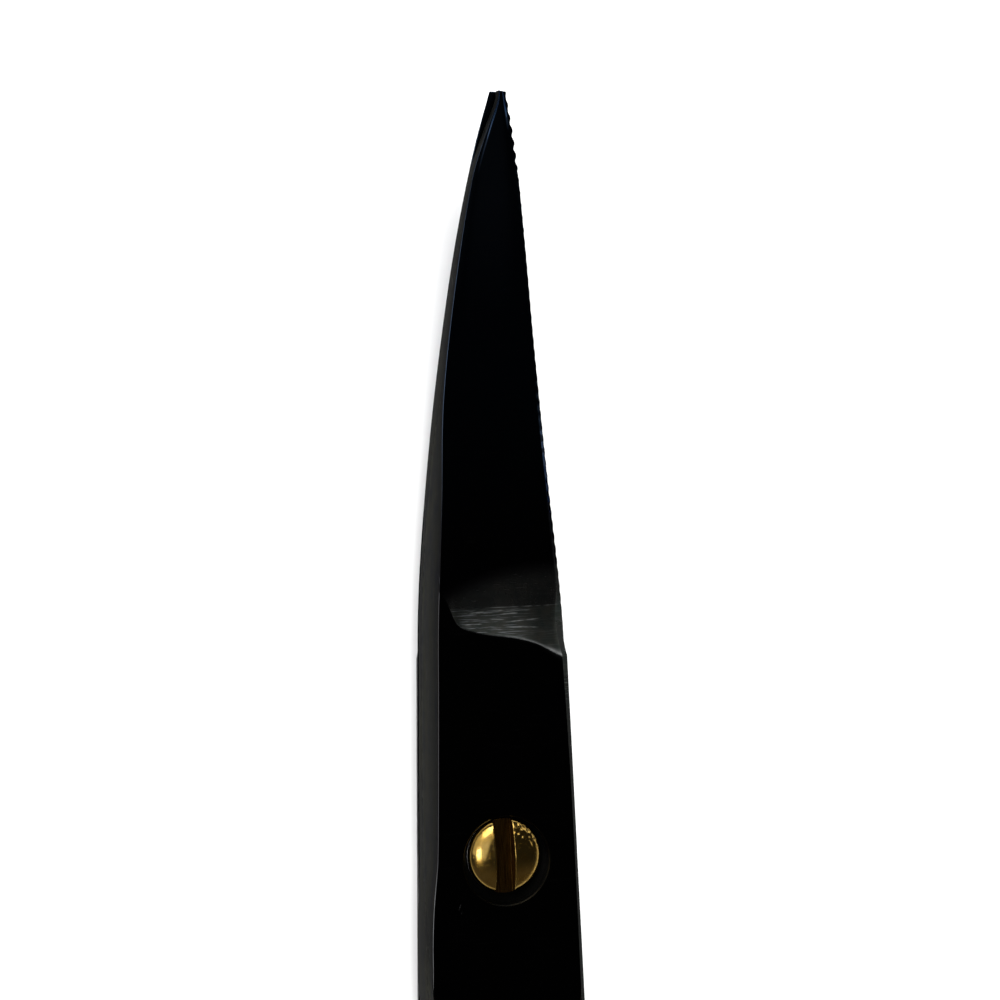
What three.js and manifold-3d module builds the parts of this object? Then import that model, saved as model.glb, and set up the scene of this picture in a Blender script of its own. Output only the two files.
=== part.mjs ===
// Hair cutting shears with curved, hollow-ground blades and ring handles, lying flat and closed.
// Millimetres. The pivot axis is the Z axis, the blade tips point along +Y, the screw head faces +Z
// and the shears rest on the plane Z = 0.
//
// The thumb blade is the upper half: its cutting edge looks towards +X and its handle runs down the
// +X side. The finger blade is the lower half, the same shape turned half a turn about the Y axis.
// Each half is described in its own coordinates: u runs from spine to cutting edge, y along the shears
// and h away from the surface where the two halves meet.
import * as THREE from "three";
import { mergeVertices } from "three/addons/utils/BufferGeometryUtils.js";
import Module from "manifold-3d";

// ---- driving dimensions ----
const MEETING_Z = 2.6; // height of the meeting surface at the pivot
const MEETING_GAP = 0.1; // between the halves
const FACE_H = 2.45; // thickness of one half at the pivot
const TIP_Y = 59.75; // pivot axis to tip

const CURVE_START_R = 24.9; // the blades are flat to here and then curve upwards
const CURVE_END_R = 51.5; // and are straight again from here to the tip
const CURVE_RADIUS = 90;

const HEEL_Y = 22.1; // the ground part of the blade starts here
const WHEEL_RADIUS = 11; // of the grinding wheel that leaves the heel
const WALL_LEAN = 0.35; // of the wall on the cutting edge's side, over its height
const EDGE_H = 0.06; // thickness left at the cutting edge

const RING_TUBE = { across: 2.2, thick: 2.4 }; // half sizes of a finger ring's section
const RING_RADIUS = 12.4; // to the middle of the section, across the shears
const INSERT = { gap: 0.3, inner: 8.9, lip: 1.05 }; // rubber ring liner

const HEAD = { radius: 2.95, base: 4.45, rim: 4.8, top: 5.85 };
const SLOT = { x: -0.12, width: 1.55, floor: 4.85 };
const SHOULDER = { radius: 1.8, bottom: 2.35 };
const THREAD = { radius: 1.4, bottom: 0.75 };
const COUNTERBORE = { radius: 3.5, floor: 4.1, x: 0.12, y: -0.42 }; // x, y: off the pivot axis
const BUSHING = { inner: 1.86, outer: 2.4, bottom: 3.0, top: 4.05, gap: 0.06 };
const NUT = { flange: 3.3, flangeTop: 1.0, barrel: 2.4, top: 2.2, bore: 1.6, floor: 0.5 };
const NUT_SEAT_GAP = 0.2;
const SPRING_WASHER = { outer: 2.95, inner: 2.05, bottom: 4.15, top: 4.4 };
const SLIP_WASHER = { outer: 4.4, inner: 2.1, thick: 0.5 };
const SLIP_POCKET = { radius: 4.7, depth: 0.3 };

const BUMPER = { y: -40, stem: 1.0, head: 1.7, seat: 1.3, seatDepth: 2.6 };
const HANDLE_GAP = 1.3; // half the space between the two handles
const REST = { standOff: 1.2, stud: 1.0, hole: 1.25, collar: 2.1, collarLength: 1.3, rod: 1.6, ball: 1.9 };
const REST_ANGLE = THREE.MathUtils.degToRad(-62); // where the finger rest leaves its ring

const HALVES = {
  finger: { side: -1, ringX: 15.5, ringY: -63.2, stretch: 1.08, shankEnd: -57 },
  thumb: { side: 1, ringX: 15.2, ringY: -53.6, stretch: 1.04, shankEnd: -48 },
};

// ---- helpers ----
const wasm = await Module();
wasm.setup();

// A closed geometry as a manifold-3d solid, after an optional matrix.
function solidOf(geometry, matrix = new THREE.Matrix4()) {
  const plain = new THREE.BufferGeometry();
  plain.setAttribute("position", geometry.getAttribute("position").clone());
  if (geometry.index) plain.setIndex(geometry.index.clone());
  plain.applyMatrix4(matrix);
  const merged = mergeVertices(plain, 1e-4);
  return new wasm.Manifold(
    new wasm.Mesh({
      numProp: 3,
      vertProperties: merged.attributes.position.array,
      triVerts: new Uint32Array(merged.index.array),
    }),
  );
}

function geometryOf(solid) {
  const { vertProperties, triVerts } = solid.getMesh();
  const geometry = new THREE.BufferGeometry();
  geometry.setAttribute("position", new THREE.BufferAttribute(vertProperties, 3));
  geometry.setIndex(new THREE.BufferAttribute(triVerts, 1));
  geometry.computeVertexNormals();
  return geometry;
}

// A smooth function of y through a few [y, value] points in rising order of y.
function profile(...points) {
  const ys = points.map((p) => p[0]);
  const curve = new THREE.CubicInterpolant(ys, points.map((p) => p[1]), 1);
  return (y) => curve.evaluate(THREE.MathUtils.clamp(y, ys[0], ys.at(-1)))[0];
}

// A turned solid about the Z axis from [radius, z] points.
function turned(points, segments = 32) {
  const geometry = new THREE.LatheGeometry(points.map(([r, z]) => new THREE.Vector2(r, z)), segments);
  return geometry.rotateX(Math.PI / 2);
}

const disc = (radius, bottom, top, segments = 32) =>
  turned([[0, bottom], [radius, bottom], [radius, top], [0, top]], segments);

const washer = (inner, outer, bottom, top) =>
  turned([[inner, bottom], [outer, bottom], [outer, top], [inner, top], [inner, bottom]]);

// Turns +Z onto a direction and moves to a place.
function aimed(direction, place) {
  const turn = new THREE.Quaternion().setFromUnitVectors(new THREE.Vector3(0, 0, 1), direction);
  return new THREE.Matrix4().compose(place, turn, new THREE.Vector3(1, 1, 1));
}

// ---- outline and thickness of a half ----
// Half width at the meeting surface. The spine and the edge share it up to the rounding of the tip.
const halfWidth = profile(
  [0, 6.45], [12, 6.15], [20, 5.9], [30, 5], [40, 3.9], [50, 2.6], [56, 1.55], [TIP_Y, 0.65],
);
// How much the spine pulls in towards the edge at the tip.
const tipPull = profile([0, 0], [53, 0], [57, 0.4], [59, 0.6], [TIP_Y, 0.5]);
const spineInset = profile([0, 1], [21, 1.05], [28, 0.9], [36, 0.4], [48, 0.25], [TIP_Y, 0.15]);
const spineHeight = profile([HEEL_Y, 2.4], [28, 2.1], [36, 1.55], [48, 1], [TIP_Y, 0.85]);
const bevelWidth = profile([HEEL_Y, 0.3], [49.5, 0.4], [TIP_Y, 0.26]);

// Handle side: inner and outer outline, top and underside of the bar.
const innerLine = profile(
  [-60, HANDLE_GAP], [-27, HANDLE_GAP], [-23.5, 0.75], [-20.5, -1.0], [-16.5, -4.1], [-12.5, -6.4],
  [-8, -6.75], [0, -6.44],
);
const outerLine = profile([-60, 5.7], [-38, 6.3], [-30, 6.7], [-21, 6.95], [-11, 6.72], [0, 6.44]);
const barTop = profile([-60, 2.3], [-30, 2.4], [-20, FACE_H], [0, FACE_H]);
const barUnder = (y) => -2.4 * (1 - THREE.MathUtils.smoothstep(y, -34, -24));
const chamfer = profile([-30, 1.5], [-14, 0.6], [-11, 0.4], [0, 0.35], [16, 0.56]);
const crown = profile([-32, 1], [-13, 0], [0, 0]); // 0 flat faced, 1 fully rounded bar

// Height of the hollow grind across the blade, from the spine's rim (0) to the edge bevel (1): it drops
// off a rounded shoulder, runs nearly level and falls away again towards the bevel.
const hollowGrind = profile([0, 1], [0.07, 0.95], [0.16, 0.75], [0.3, 0.65], [0.8, 0.42], [1, 0.12]);

// Height of the meeting surface over the pivot: a bowl about the pivot axis, so that the halves keep
// their gap at every opening angle.
function meetingRise(x, y) {
  const reach = y > 0 ? Math.hypot(x, y) : 0;
  const bent = THREE.MathUtils.clamp(reach, CURVE_START_R, CURVE_END_R) - CURVE_START_R;
  const drop = Math.sqrt(CURVE_RADIUS ** 2 - bent ** 2);
  return CURVE_RADIUS - drop + (Math.max(reach - CURVE_END_R, 0) * bent) / drop;
}

// Where the grinding wheel breaks through the flat face, for a place w across the blade.
function heelBreak(w) {
  const depth = FACE_H - spineHeight(HEEL_Y) * hollowGrind(w);
  return HEEL_Y - Math.sqrt(WHEEL_RADIUS ** 2 - (WHEEL_RADIUS - depth) ** 2);
}

// Height of the outer surface at a place w across the half.
function outerHeight(w, y) {
  if (y >= HEEL_Y) return spineHeight(y) * hollowGrind(w);
  const flat = y < 0 ? barTop(y) : FACE_H;
  if (y <= heelBreak(w) + 1e-6) return flat;
  const runOut = WHEEL_RADIUS - Math.sqrt(WHEEL_RADIUS ** 2 - (HEEL_Y - y) ** 2);
  return Math.min(flat, spineHeight(HEEL_Y) * hollowGrind(w) + runOut);
}

// Section of a half at y: the corners of its underside and of its outer face.
function section(y) {
  if (y < 0) {
    const left = innerLine(y);
    const right = outerLine(y);
    const round = crown(y) * 0.28 * (right - left);
    return {
      left, right,
      topLeft: left + THREE.MathUtils.lerp(spineInset(0) * 0.6, round, crown(y)),
      topRight: right - Math.max(chamfer(y) + WALL_LEAN * (1 - crown(y)), round),
    };
  }
  const width = halfWidth(y);
  const left = -width + tipPull(y);
  return {
    left, right: width,
    topLeft: left + spineInset(y),
    topRight: y >= HEEL_Y ? width - bevelWidth(y) : width - chamfer(y) - WALL_LEAN,
  };
}

// ---- rows along the half ----
// Rows share out five stretches: handle bar, pivot, up to the heel break, heel run-out and blade.
const ROWS = { bar: 16, pivot: 3, rise: 1, heel: 4, blade: 18 };
const PIVOT_TOP_Y = 13;

function rowY(row, w, shankEnd) {
  const share = (from, to, index, count) => THREE.MathUtils.lerp(from, to, index / count);
  let index = row;
  if (index <= ROWS.bar) return share(shankEnd, -8, index, ROWS.bar);
  index -= ROWS.bar;
  if (index <= ROWS.pivot) return share(-8, PIVOT_TOP_Y, index, ROWS.pivot);
  index -= ROWS.pivot;
  const breakY = heelBreak(w);
  if (index <= ROWS.rise) return share(PIVOT_TOP_Y, breakY, index, ROWS.rise);
  index -= ROWS.rise;
  if (index <= ROWS.heel) return share(breakY, HEEL_Y, index, ROWS.heel);
  index -= ROWS.heel;
  return share(HEEL_Y, TIP_Y, (index / ROWS.blade) ** 0.9, 1);
}

// Blade, pivot and handle bar of one half, as a box whose grid is laid over the half's surface.
function halfBar({ side, shankEnd }) {
  const columns = 9;
  const rows = Object.values(ROWS).reduce((sum, n) => sum + n);
  const geometry = new THREE.BoxGeometry(1, 1, 1, columns, rows, 2);
  const position = geometry.getAttribute("position");
  for (let i = 0; i < position.count; i++) {
    const across = position.getX(i) + 0.5;
    const row = Math.round((position.getY(i) + 0.5) * rows);
    const level = Math.round((position.getZ(i) + 0.5) * 2); // 0 underside, 1 wall, 2 outer face
    const w = across ** 1.4;
    const y = rowY(row, w, shankEnd);
    const { left, right, topLeft, topRight } = section(y);
    const top = outerHeight(w, y);
    const under = barUnder(Math.min(y, 0));
    let u;
    let h;
    if (level === 2) {
      u = THREE.MathUtils.lerp(topLeft, topRight, w);
      h = top;
    } else if (level === 0) {
      // The bar's underside is rounded like its top where it leaves the meeting surface.
      const hang = -under / 2.4;
      u = THREE.MathUtils.lerp(
        THREE.MathUtils.lerp(left, topLeft, hang), THREE.MathUtils.lerp(right, topRight, hang), w,
      );
      h = under;
    } else {
      const edgeWall = y >= HEEL_Y ? EDGE_H : THREE.MathUtils.lerp(EDGE_H, top - 0.5, top / FACE_H);
      u = across < 0.5 ? THREE.MathUtils.lerp(left, topLeft, 0.3 * (1 - crown(y))) : right;
      h = across < 0.5 ? (top + under) / 2 : THREE.MathUtils.lerp(edgeWall, (top + under) / 2, crown(y));
      if (across >= 0.5 && y < HEEL_Y) u -= WALL_LEAN * (top / FACE_H) * (1 - crown(y));
    }
    const x = side * u;
    position.setXYZ(i, x, y, MEETING_Z + meetingRise(x, y) + side * (MEETING_GAP / 2 + h));
  }
  return solidOf(geometry);
}

// ---- the two blades ----
function ringPlace({ side, ringX, ringY }) {
  return new THREE.Vector3(side * ringX, ringY, MEETING_Z);
}

function ring(half) {
  const torus = new THREE.TorusGeometry(RING_RADIUS, RING_TUBE.across, 12, 40);
  const place = ringPlace(half);
  const stretch = new THREE.Matrix4().makeScale(1, half.stretch, RING_TUBE.thick / RING_TUBE.across);
  return solidOf(torus, new THREE.Matrix4().makeTranslation(place.x, place.y, place.z).multiply(stretch));
}

// Where the finger rest leaves the finger ring, and the way it points.
function restRoot() {
  const half = HALVES.finger;
  const out = new THREE.Vector3(half.side * Math.cos(REST_ANGLE), Math.sin(REST_ANGLE), 0);
  const outer = RING_RADIUS + RING_TUBE.across;
  const place = ringPlace(half).add(new THREE.Vector3(out.x * outer, out.y * outer * half.stretch, 0));
  return { place, out };
}

// The lower half, with the nut's seat, the bumper's seat and the finger rest's boss.
function fingerBlade() {
  const { place, out } = restRoot();
  const boss = solidOf(new THREE.SphereGeometry(2.3, 16, 10), new THREE.Matrix4().setPosition(
    place.clone().addScaledVector(out, -1.4),
  ));
  const studHole = solidOf(disc(REST.hole, -3, 2, 24), aimed(out, place));
  const seat = aimed(new THREE.Vector3(-1, 0, 0), new THREE.Vector3(0, BUMPER.y, MEETING_Z));
  const pocketFloor = MEETING_Z - MEETING_GAP / 2 - SLIP_POCKET.depth;
  return halfBar(HALVES.finger)
    .add(ring(HALVES.finger))
    .add(boss)
    .subtract(studHole)
    .subtract(solidOf(disc(BUMPER.seat, 0, HANDLE_GAP + BUMPER.seatDepth, 24), seat))
    .subtract(solidOf(disc(NUT.barrel + NUT_SEAT_GAP, -2, 4)))
    .subtract(solidOf(disc(NUT.flange + NUT_SEAT_GAP, -2, NUT.flangeTop + NUT_SEAT_GAP)))
    .subtract(solidOf(disc(SLIP_POCKET.radius, pocketFloor, 6)));
}

// The upper half, with the bushing's bore and the counterbore for the screw head.
function thumbBlade() {
  return halfBar(HALVES.thumb)
    .add(ring(HALVES.thumb))
    .subtract(solidOf(disc(BUSHING.outer + BUSHING.gap, 0, 8)))
    .subtract(solidOf(
      disc(COUNTERBORE.radius, COUNTERBORE.floor, 8),
      new THREE.Matrix4().makeTranslation(COUNTERBORE.x, COUNTERBORE.y, 0),
    ))
    .subtract(solidOf(disc(SLIP_POCKET.radius, 0, MEETING_Z + MEETING_GAP / 2 + SLIP_POCKET.depth)));
}

// ---- pivot ----
function pivotScrew() {
  const { radius, base, rim, top } = HEAD;
  const outline = [
    [0, THREAD.bottom], [THREAD.radius - 0.3, THREAD.bottom], [THREAD.radius, THREAD.bottom + 0.3],
    [THREAD.radius, SHOULDER.bottom], [SHOULDER.radius, SHOULDER.bottom], [SHOULDER.radius, base],
    [radius, base], [radius, rim],
  ];
  const domeSteps = 7;
  for (let i = 1; i <= domeSteps; i++) {
    const angle = (i / domeSteps) * (Math.PI / 2);
    outline.push([radius * Math.cos(angle), rim + (top - rim) * Math.sin(angle)]);
  }
  outline[outline.length - 1][0] = 0;
  const slot = new THREE.BoxGeometry(SLOT.width, 3 * radius, top);
  return solidOf(turned(outline)).subtract(
    solidOf(slot, new THREE.Matrix4().makeTranslation(SLOT.x, 0, SLOT.floor + top / 2)),
  );
}

function pivotNut() {
  const edge = 0.15;
  return solidOf(turned([
    [0, 0], [NUT.flange - edge, 0], [NUT.flange, edge], [NUT.flange, NUT.flangeTop],
    [NUT.barrel, NUT.flangeTop], [NUT.barrel, NUT.top], [NUT.bore, NUT.top], [NUT.bore, NUT.floor],
    [0, NUT.floor],
  ]));
}

const springWasher = () =>
  solidOf(washer(SPRING_WASHER.inner, SPRING_WASHER.outer, SPRING_WASHER.bottom, SPRING_WASHER.top));

const pivotBushing = () =>
  solidOf(washer(BUSHING.inner, BUSHING.outer, BUSHING.bottom, BUSHING.top));

const slipWasher = () =>
  solidOf(
    washer(SLIP_WASHER.inner, SLIP_WASHER.outer, -SLIP_WASHER.thick / 2, SLIP_WASHER.thick / 2),
    new THREE.Matrix4().makeTranslation(0, 0, MEETING_Z),
  );

// ---- handle fittings ----
// A rubber liner with a groove that sits on the inside of its ring and lips that lap over the ring's faces.
function ringInsert(half) {
  const grooveSteps = 6;
  const outline = [];
  for (let i = 0; i <= grooveSteps; i++) {
    const angle = THREE.MathUtils.lerp(-INSERT.lip, INSERT.lip, i / grooveSteps);
    outline.push([
      RING_RADIUS - (RING_TUBE.across + INSERT.gap) * Math.cos(angle),
      (RING_TUBE.thick + INSERT.gap) * Math.sin(angle),
    ]);
  }
  outline.push(
    [10.7, MEETING_Z], [10.0, MEETING_Z], [9.2, 1.7], [INSERT.inner, 0],
    [9.2, -1.7], [10.0, -MEETING_Z], [10.7, -MEETING_Z], outline[0],
  );
  const place = ringPlace(half);
  const stretch = new THREE.Matrix4().makeScale(1, half.stretch, 1);
  return solidOf(
    turned(outline, 40), new THREE.Matrix4().makeTranslation(place.x, place.y, place.z).multiply(stretch),
  );
}

// The silencer: a stem in the finger handle and a domed head that meets the thumb handle.
function bumper() {
  const start = -HANDLE_GAP + 0.3;
  const end = HANDLE_GAP - 0.3;
  const outline = [
    [0, start - 2.2], [BUMPER.stem, start - 2.2], [BUMPER.stem, start], [BUMPER.head, start],
    [BUMPER.head, end - 0.7], [BUMPER.head * 0.8, end - 0.25], [BUMPER.head * 0.45, end], [0, end],
  ];
  const place = new THREE.Vector3(0, BUMPER.y, MEETING_Z);
  return solidOf(turned(outline, 24), aimed(new THREE.Vector3(1, 0, 0), place));
}

// The finger rest: a stud, a collar and a rod that curves outwards to a ball end.
function fingerRest() {
  const { place, out } = restRoot();
  const { side } = HALVES.finger;
  const seat = place.clone().addScaledVector(out, REST.standOff);
  const fitting = turned([
    [0, -3.6], [REST.stud, -3.6], [REST.stud, 0], [REST.collar, 0], [REST.collar, REST.collarLength],
    [REST.rod, REST.collarLength + 0.5], [0, REST.collarLength + 0.5],
  ], 24);
  const path = new THREE.CubicBezierCurve3(
    seat.clone().addScaledVector(out, 1),
    seat.clone().addScaledVector(out, 8),
    seat.clone().add(new THREE.Vector3(side * 8, -9.5, 0)),
    seat.clone().add(new THREE.Vector3(side * 16.5, -6.5, 0)),
  );
  const round = new THREE.Shape().absarc(0, 0, REST.rod, 0, 2 * Math.PI);
  const rod = new THREE.ExtrudeGeometry(round, { extrudePath: path, steps: 16, curveSegments: 10 });
  const ball = new THREE.SphereGeometry(REST.ball, 16, 12);
  return solidOf(fitting, aimed(out, seat))
    .add(solidOf(rod))
    .add(solidOf(ball, new THREE.Matrix4().setPosition(path.getPoint(1))));
}

// ---- assembly ----
const coated = { color: 0x0b0b0c, roughness: 0.22, metalness: 0.9 };
const gold = { color: 0xd0a040, roughness: 0.18, metalness: 1 };
const rubber = { color: 0x161616, roughness: 0.75, metalness: 0 };
const steel = { color: 0xa8a9ab, roughness: 0.35, metalness: 1 };
const brass = { color: 0xb08d57, roughness: 0.4, metalness: 1 };
const nylon = { color: 0xe6e2d8, roughness: 0.5, metalness: 0 };

const PIECES = [
  ["finger_blade", fingerBlade, coated],
  ["thumb_blade", thumbBlade, coated],
  ["pivot_screw", pivotScrew, gold],
  ["pivot_nut", pivotNut, gold],
  ["spring_washer", springWasher, steel],
  ["pivot_bushing", pivotBushing, brass],
  ["slip_washer", slipWasher, nylon],
  ["finger_ring_insert", () => ringInsert(HALVES.finger), rubber],
  ["thumb_ring_insert", () => ringInsert(HALVES.thumb), rubber],
  ["bumper", bumper, rubber],
  ["finger_rest", fingerRest, coated],
];

const shears = new THREE.Group();
for (const [name, make, look] of PIECES) {
  const mesh = new THREE.Mesh(geometryOf(make()), new THREE.MeshStandardMaterial(look));
  mesh.name = name;
  shears.add(mesh);
}

export default shears;
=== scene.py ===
"""Hair cutting shears, lying closed on a pale floor.

Lengths in this script are millimetres until MM turns them into Blender's metres. A half is described by
u (spine to cutting edge), y (along the shears) and h (away from the surface where the halves meet). The
finger half is the thumb half's shape turned about the Y axis.
"""

import math
import random

import bmesh
import bpy
import numpy as np
from mathutils import Matrix, Vector, noise


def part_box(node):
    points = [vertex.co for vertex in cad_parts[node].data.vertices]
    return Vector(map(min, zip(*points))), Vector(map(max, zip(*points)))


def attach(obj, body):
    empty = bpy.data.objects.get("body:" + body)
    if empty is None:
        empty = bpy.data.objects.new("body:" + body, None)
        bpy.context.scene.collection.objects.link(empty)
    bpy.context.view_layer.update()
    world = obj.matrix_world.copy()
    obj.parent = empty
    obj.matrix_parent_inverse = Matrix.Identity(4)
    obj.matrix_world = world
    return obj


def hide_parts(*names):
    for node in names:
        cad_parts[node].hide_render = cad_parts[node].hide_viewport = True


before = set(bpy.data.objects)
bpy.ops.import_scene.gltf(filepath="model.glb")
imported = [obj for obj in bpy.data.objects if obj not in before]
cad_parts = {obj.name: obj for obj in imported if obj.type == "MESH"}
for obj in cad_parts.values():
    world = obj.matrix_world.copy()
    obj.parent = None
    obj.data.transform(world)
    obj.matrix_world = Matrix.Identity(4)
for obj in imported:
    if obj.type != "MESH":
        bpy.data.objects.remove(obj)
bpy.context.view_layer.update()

MM = 0.001


def corner(node):
    """A CAD node's lowest and highest corners, in millimetres."""
    low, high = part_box(node)
    return np.array(low) / MM, np.array(high) / MM


# ---- camera ----
YAW = math.radians(15.0)
ROLL = math.radians(1.58)
DISTANCE = 200.0
LOOK_AT = Vector((0.0, 27.5, 2.6))
OFF_CENTRE = (1.0, 0.64)  # across and up, in the camera's own directions

right = Vector((math.cos(ROLL) * math.cos(YAW), -math.sin(ROLL), math.cos(ROLL) * math.sin(YAW)))
up = Vector((math.sin(ROLL) * math.cos(YAW), math.cos(ROLL), math.sin(ROLL) * math.sin(YAW)))
back = Vector((-math.sin(YAW), 0.0, math.cos(YAW)))
eye = (LOOK_AT + OFF_CENTRE[0] * right + OFF_CENTRE[1] * up + DISTANCE * back) * MM
camera = bpy.data.objects.new("camera", bpy.data.cameras.new("camera"))
camera.data.lens = 90
camera.data.sensor_width = 36
camera.data.clip_start = 0.01
camera.matrix_world = Matrix.Translation(eye) @ Matrix((right, up, back)).transposed().to_4x4()
bpy.context.scene.collection.objects.link(camera)
bpy.context.scene.camera = camera

# ---- sizes shared with the CAD ----
MEETING_Z = 2.6
MEETING_GAP = 0.1
FACE_H = 2.45
TIP_Y = corner("thumb_blade")[1][1]
CURVE_START_R = 24.9
CURVE_END_R = 51.5
CURVE_RADIUS = 90.0
HEEL_Y = 22.1
WHEEL_RADIUS = 11.0
WALL_LEAN = 0.35
EDGE_H = 0.05
HANDLE_GAP = 1.3
RING_RADIUS = 12.4
RING_HALF = (2.2, 2.4)  # across and thick
BORE = 2.46  # of the thumb half, round the bushing
COUNTERBORE = {"radius": 3.5, "floor": 4.1, "centre": (0.12, -0.42, 0)}
SLIP_POCKET = {"radius": 4.7, "depth": 0.3}
NUT_SEAT = {"flange": 3.5, "flange_top": 1.2, "barrel": 2.6}
BUMPER_Y = -40.0
REST_ANGLE = math.radians(-62)
JOIN_Y = -14.0  # the handle is modelled apart below this


# ---- helpers ----
def profile(*points):
    """A smooth function through a few (y, value) points in rising order of y."""
    xs, ys = np.array(points, float).T
    h = np.diff(xs)
    d = np.diff(ys) / h
    m = np.concatenate([d[:1], (d[:-1] + d[1:]) / 2, d[-1:]])
    m[1:-1][d[:-1] * d[1:] <= 0] = 0

    def value(x):
        x = np.clip(x, xs[0], xs[-1])
        i = np.clip(np.searchsorted(xs, x) - 1, 0, len(h) - 1)
        t = (x - xs[i]) / h[i]
        start = (1 + 2 * t) * (1 - t) ** 2 * ys[i] + t * (1 - t) ** 2 * h[i] * m[i]
        return start + t * t * (3 - 2 * t) * ys[i + 1] - t * t * (1 - t) * h[i] * m[i + 1]

    return value


def smoothstep(x, low, high):
    t = np.clip((np.asarray(x, float) - low) / (high - low), 0, 1)
    return t * t * (3 - 2 * t)


def new_object(name, mesh, materials=()):
    """Links a bmesh as an object and frees it."""
    bmesh.ops.recalc_face_normals(mesh, faces=mesh.faces[:])
    data = bpy.data.meshes.new(name)
    mesh.to_mesh(data)
    mesh.free()
    data.shade_smooth()
    for material in materials:
        data.materials.append(material)
    obj = bpy.data.objects.new(name, data)
    bpy.context.scene.collection.objects.link(obj)
    return obj


def applied(obj):
    """Replaces an object's mesh with its modifiers' result."""
    graph = bpy.context.evaluated_depsgraph_get()
    mesh = bpy.data.meshes.new_from_object(obj.evaluated_get(graph), depsgraph=graph)
    old = obj.data
    obj.modifiers.clear()
    obj.data = mesh
    bpy.data.meshes.remove(old)
    return obj


# ---- materials ----
def node(tree, kind, inputs=None, **settings):
    """A shader node. An input is a socket to link or a plain value."""
    made = tree.nodes.new("ShaderNode" + kind)
    for name, value in settings.items():
        setattr(made, name, value)
    for name, value in (inputs or {}).items():
        if isinstance(value, bpy.types.NodeSocket):
            tree.links.new(value, made.inputs[name])
        else:
            made.inputs[name].default_value = value
    return made


def material(name, **constants):
    """A new material and its node tree, shader and object coordinates in millimetres."""
    made = bpy.data.materials.new(name)
    made.use_nodes = True
    tree = made.node_tree
    shader = tree.nodes["Principled BSDF"]
    for socket, value in constants.items():
        shader.inputs[socket.replace("_", " ")].default_value = value
    place = node(tree, "TexCoord").outputs["Object"]
    scale = node(tree, "VectorMath", {0: place, 1: (1 / MM, 1 / MM, 1 / MM)}, operation="MULTIPLY")
    return made, tree, shader, scale.outputs[0]


def stretched(tree, place, scale, turn=(0, 0, 0)):
    """Coordinates scaled and turned, for noise with a direction."""
    return node(tree, "Mapping", {"Vector": place, "Scale": scale, "Rotation": turn}).outputs[0]


def noisy(tree, place, scale, detail=3.0, rough=0.55):
    return node(tree, "TexNoise", {
        "Vector": place, "Scale": scale, "Detail": detail, "Roughness": rough,
    }).outputs[0]


def ramp(tree, value, low, high, from_value=0.0, to_value=1.0):
    """Maps a range of a value onto another, held at both ends."""
    return node(tree, "MapRange", {
        "Value": value, "From Min": low, "From Max": high, "To Min": from_value, "To Max": to_value,
    }).outputs[0]


def blended(tree, share, first, second):
    """A colour between two, by a share from 0 to 1."""
    return node(tree, "Mix", {0: share, 6: first, 7: second}, data_type="RGBA").outputs[2]


def maths(tree, operation, first, second):
    return node(tree, "Math", {0: first, 1: second}, operation=operation).outputs[0]


def bumped(tree, shader, height, distance, strength=1.0):
    bump = node(tree, "Bump", {"Height": height, "Distance": distance * MM, "Strength": strength})
    tree.links.new(bump.outputs[0], shader.inputs["Normal"])


def hairlines(tree, place, direction, density, length, low, high):
    """Sparse fine scratches in one direction: 1 in a scratch, 0 off it."""
    across = stretched(tree, place, (1 / length, density, density), (0, 0, direction))
    return ramp(tree, noisy(tree, across, 1.0, 2.0), low, high)


def attribute(tree, name):
    return node(tree, "Attribute", attribute_name=name).outputs["Fac"]


def strokes(tree, place, lines):
    """1 on fine scratches given as (start, end, width, strength) over the shears, 0 off them."""
    flat = node(tree, "VectorMath", {0: place, 1: (1, 1, 0)}, operation="MULTIPLY").outputs[0]
    total = None
    for start, end, width, strength in lines:
        start = Vector((*start, 0))
        run = Vector((*end, 0)) - start
        from_start = node(tree, "VectorMath", {0: flat, 1: start}, operation="SUBTRACT").outputs[0]
        per_run = run / run.length_squared
        along = node(tree, "VectorMath", {0: from_start, 1: per_run}, operation="DOT_PRODUCT").outputs[1]
        held = node(tree, "Clamp", {"Value": along}).outputs[0]
        nearest = node(tree, "VectorMath", {0: run, "Scale": held}, operation="SCALE").outputs[0]
        away = node(tree, "VectorMath", {0: from_start, 1: nearest}, operation="DISTANCE").outputs[1]
        left_over = maths(tree, "MULTIPLY", held, maths(tree, "SUBTRACT", 1.0, held))
        fade = ramp(tree, left_over, 0.0, 0.16, 0.0, strength)  # thin out at both ends
        mark = maths(tree, "MULTIPLY", ramp(tree, away, width, width * 0.3), fade)
        total = mark if total is None else maths(tree, "MAXIMUM", total, mark)
    return total


# A nick beside the screw, and the marks of the grinding wheel: one deep line right across the heel with
# shorter ones below it, drawn by chance between its limits.
NICK = (((-3.7, -3.6), (-3.9, -4.1), 0.04, 0.5), ((-3.6, -4.1), (-3.7, -4.4), 0.04, 0.4))
WHEEL_LINE_Y = 19.6
WHEEL_MARKS = 9


def wheel_marks():
    chance = random.Random(4)
    marks = [((-1, WHEEL_LINE_Y), (5.6, WHEEL_LINE_Y), 0.035, 0.5)]
    for _ in range(WHEEL_MARKS):
        x = chance.uniform(-3, 1)
        y = WHEEL_LINE_Y - chance.uniform(0.2, 1.9)
        length = chance.uniform(0.8, 3.5)
        tilt = chance.uniform(-0.08, 0.08)
        width = chance.uniform(0.03, 0.07)
        strength = chance.uniform(0.3, 0.6)
        marks.append(((x, y), (x + length, y + length * tilt), width, strength))
    return tuple(marks)


# Bare steel for scratches and rubbed coating, and also the colour of the painted highlight along the heel's
# break.
BARE_STEEL_AND_HIGHLIGHT = (0.3, 0.31, 0.31, 1)
GRAZING = (0.1, 0.1, 0.1, 1)  # the coating stays dark when seen along its surface


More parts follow.
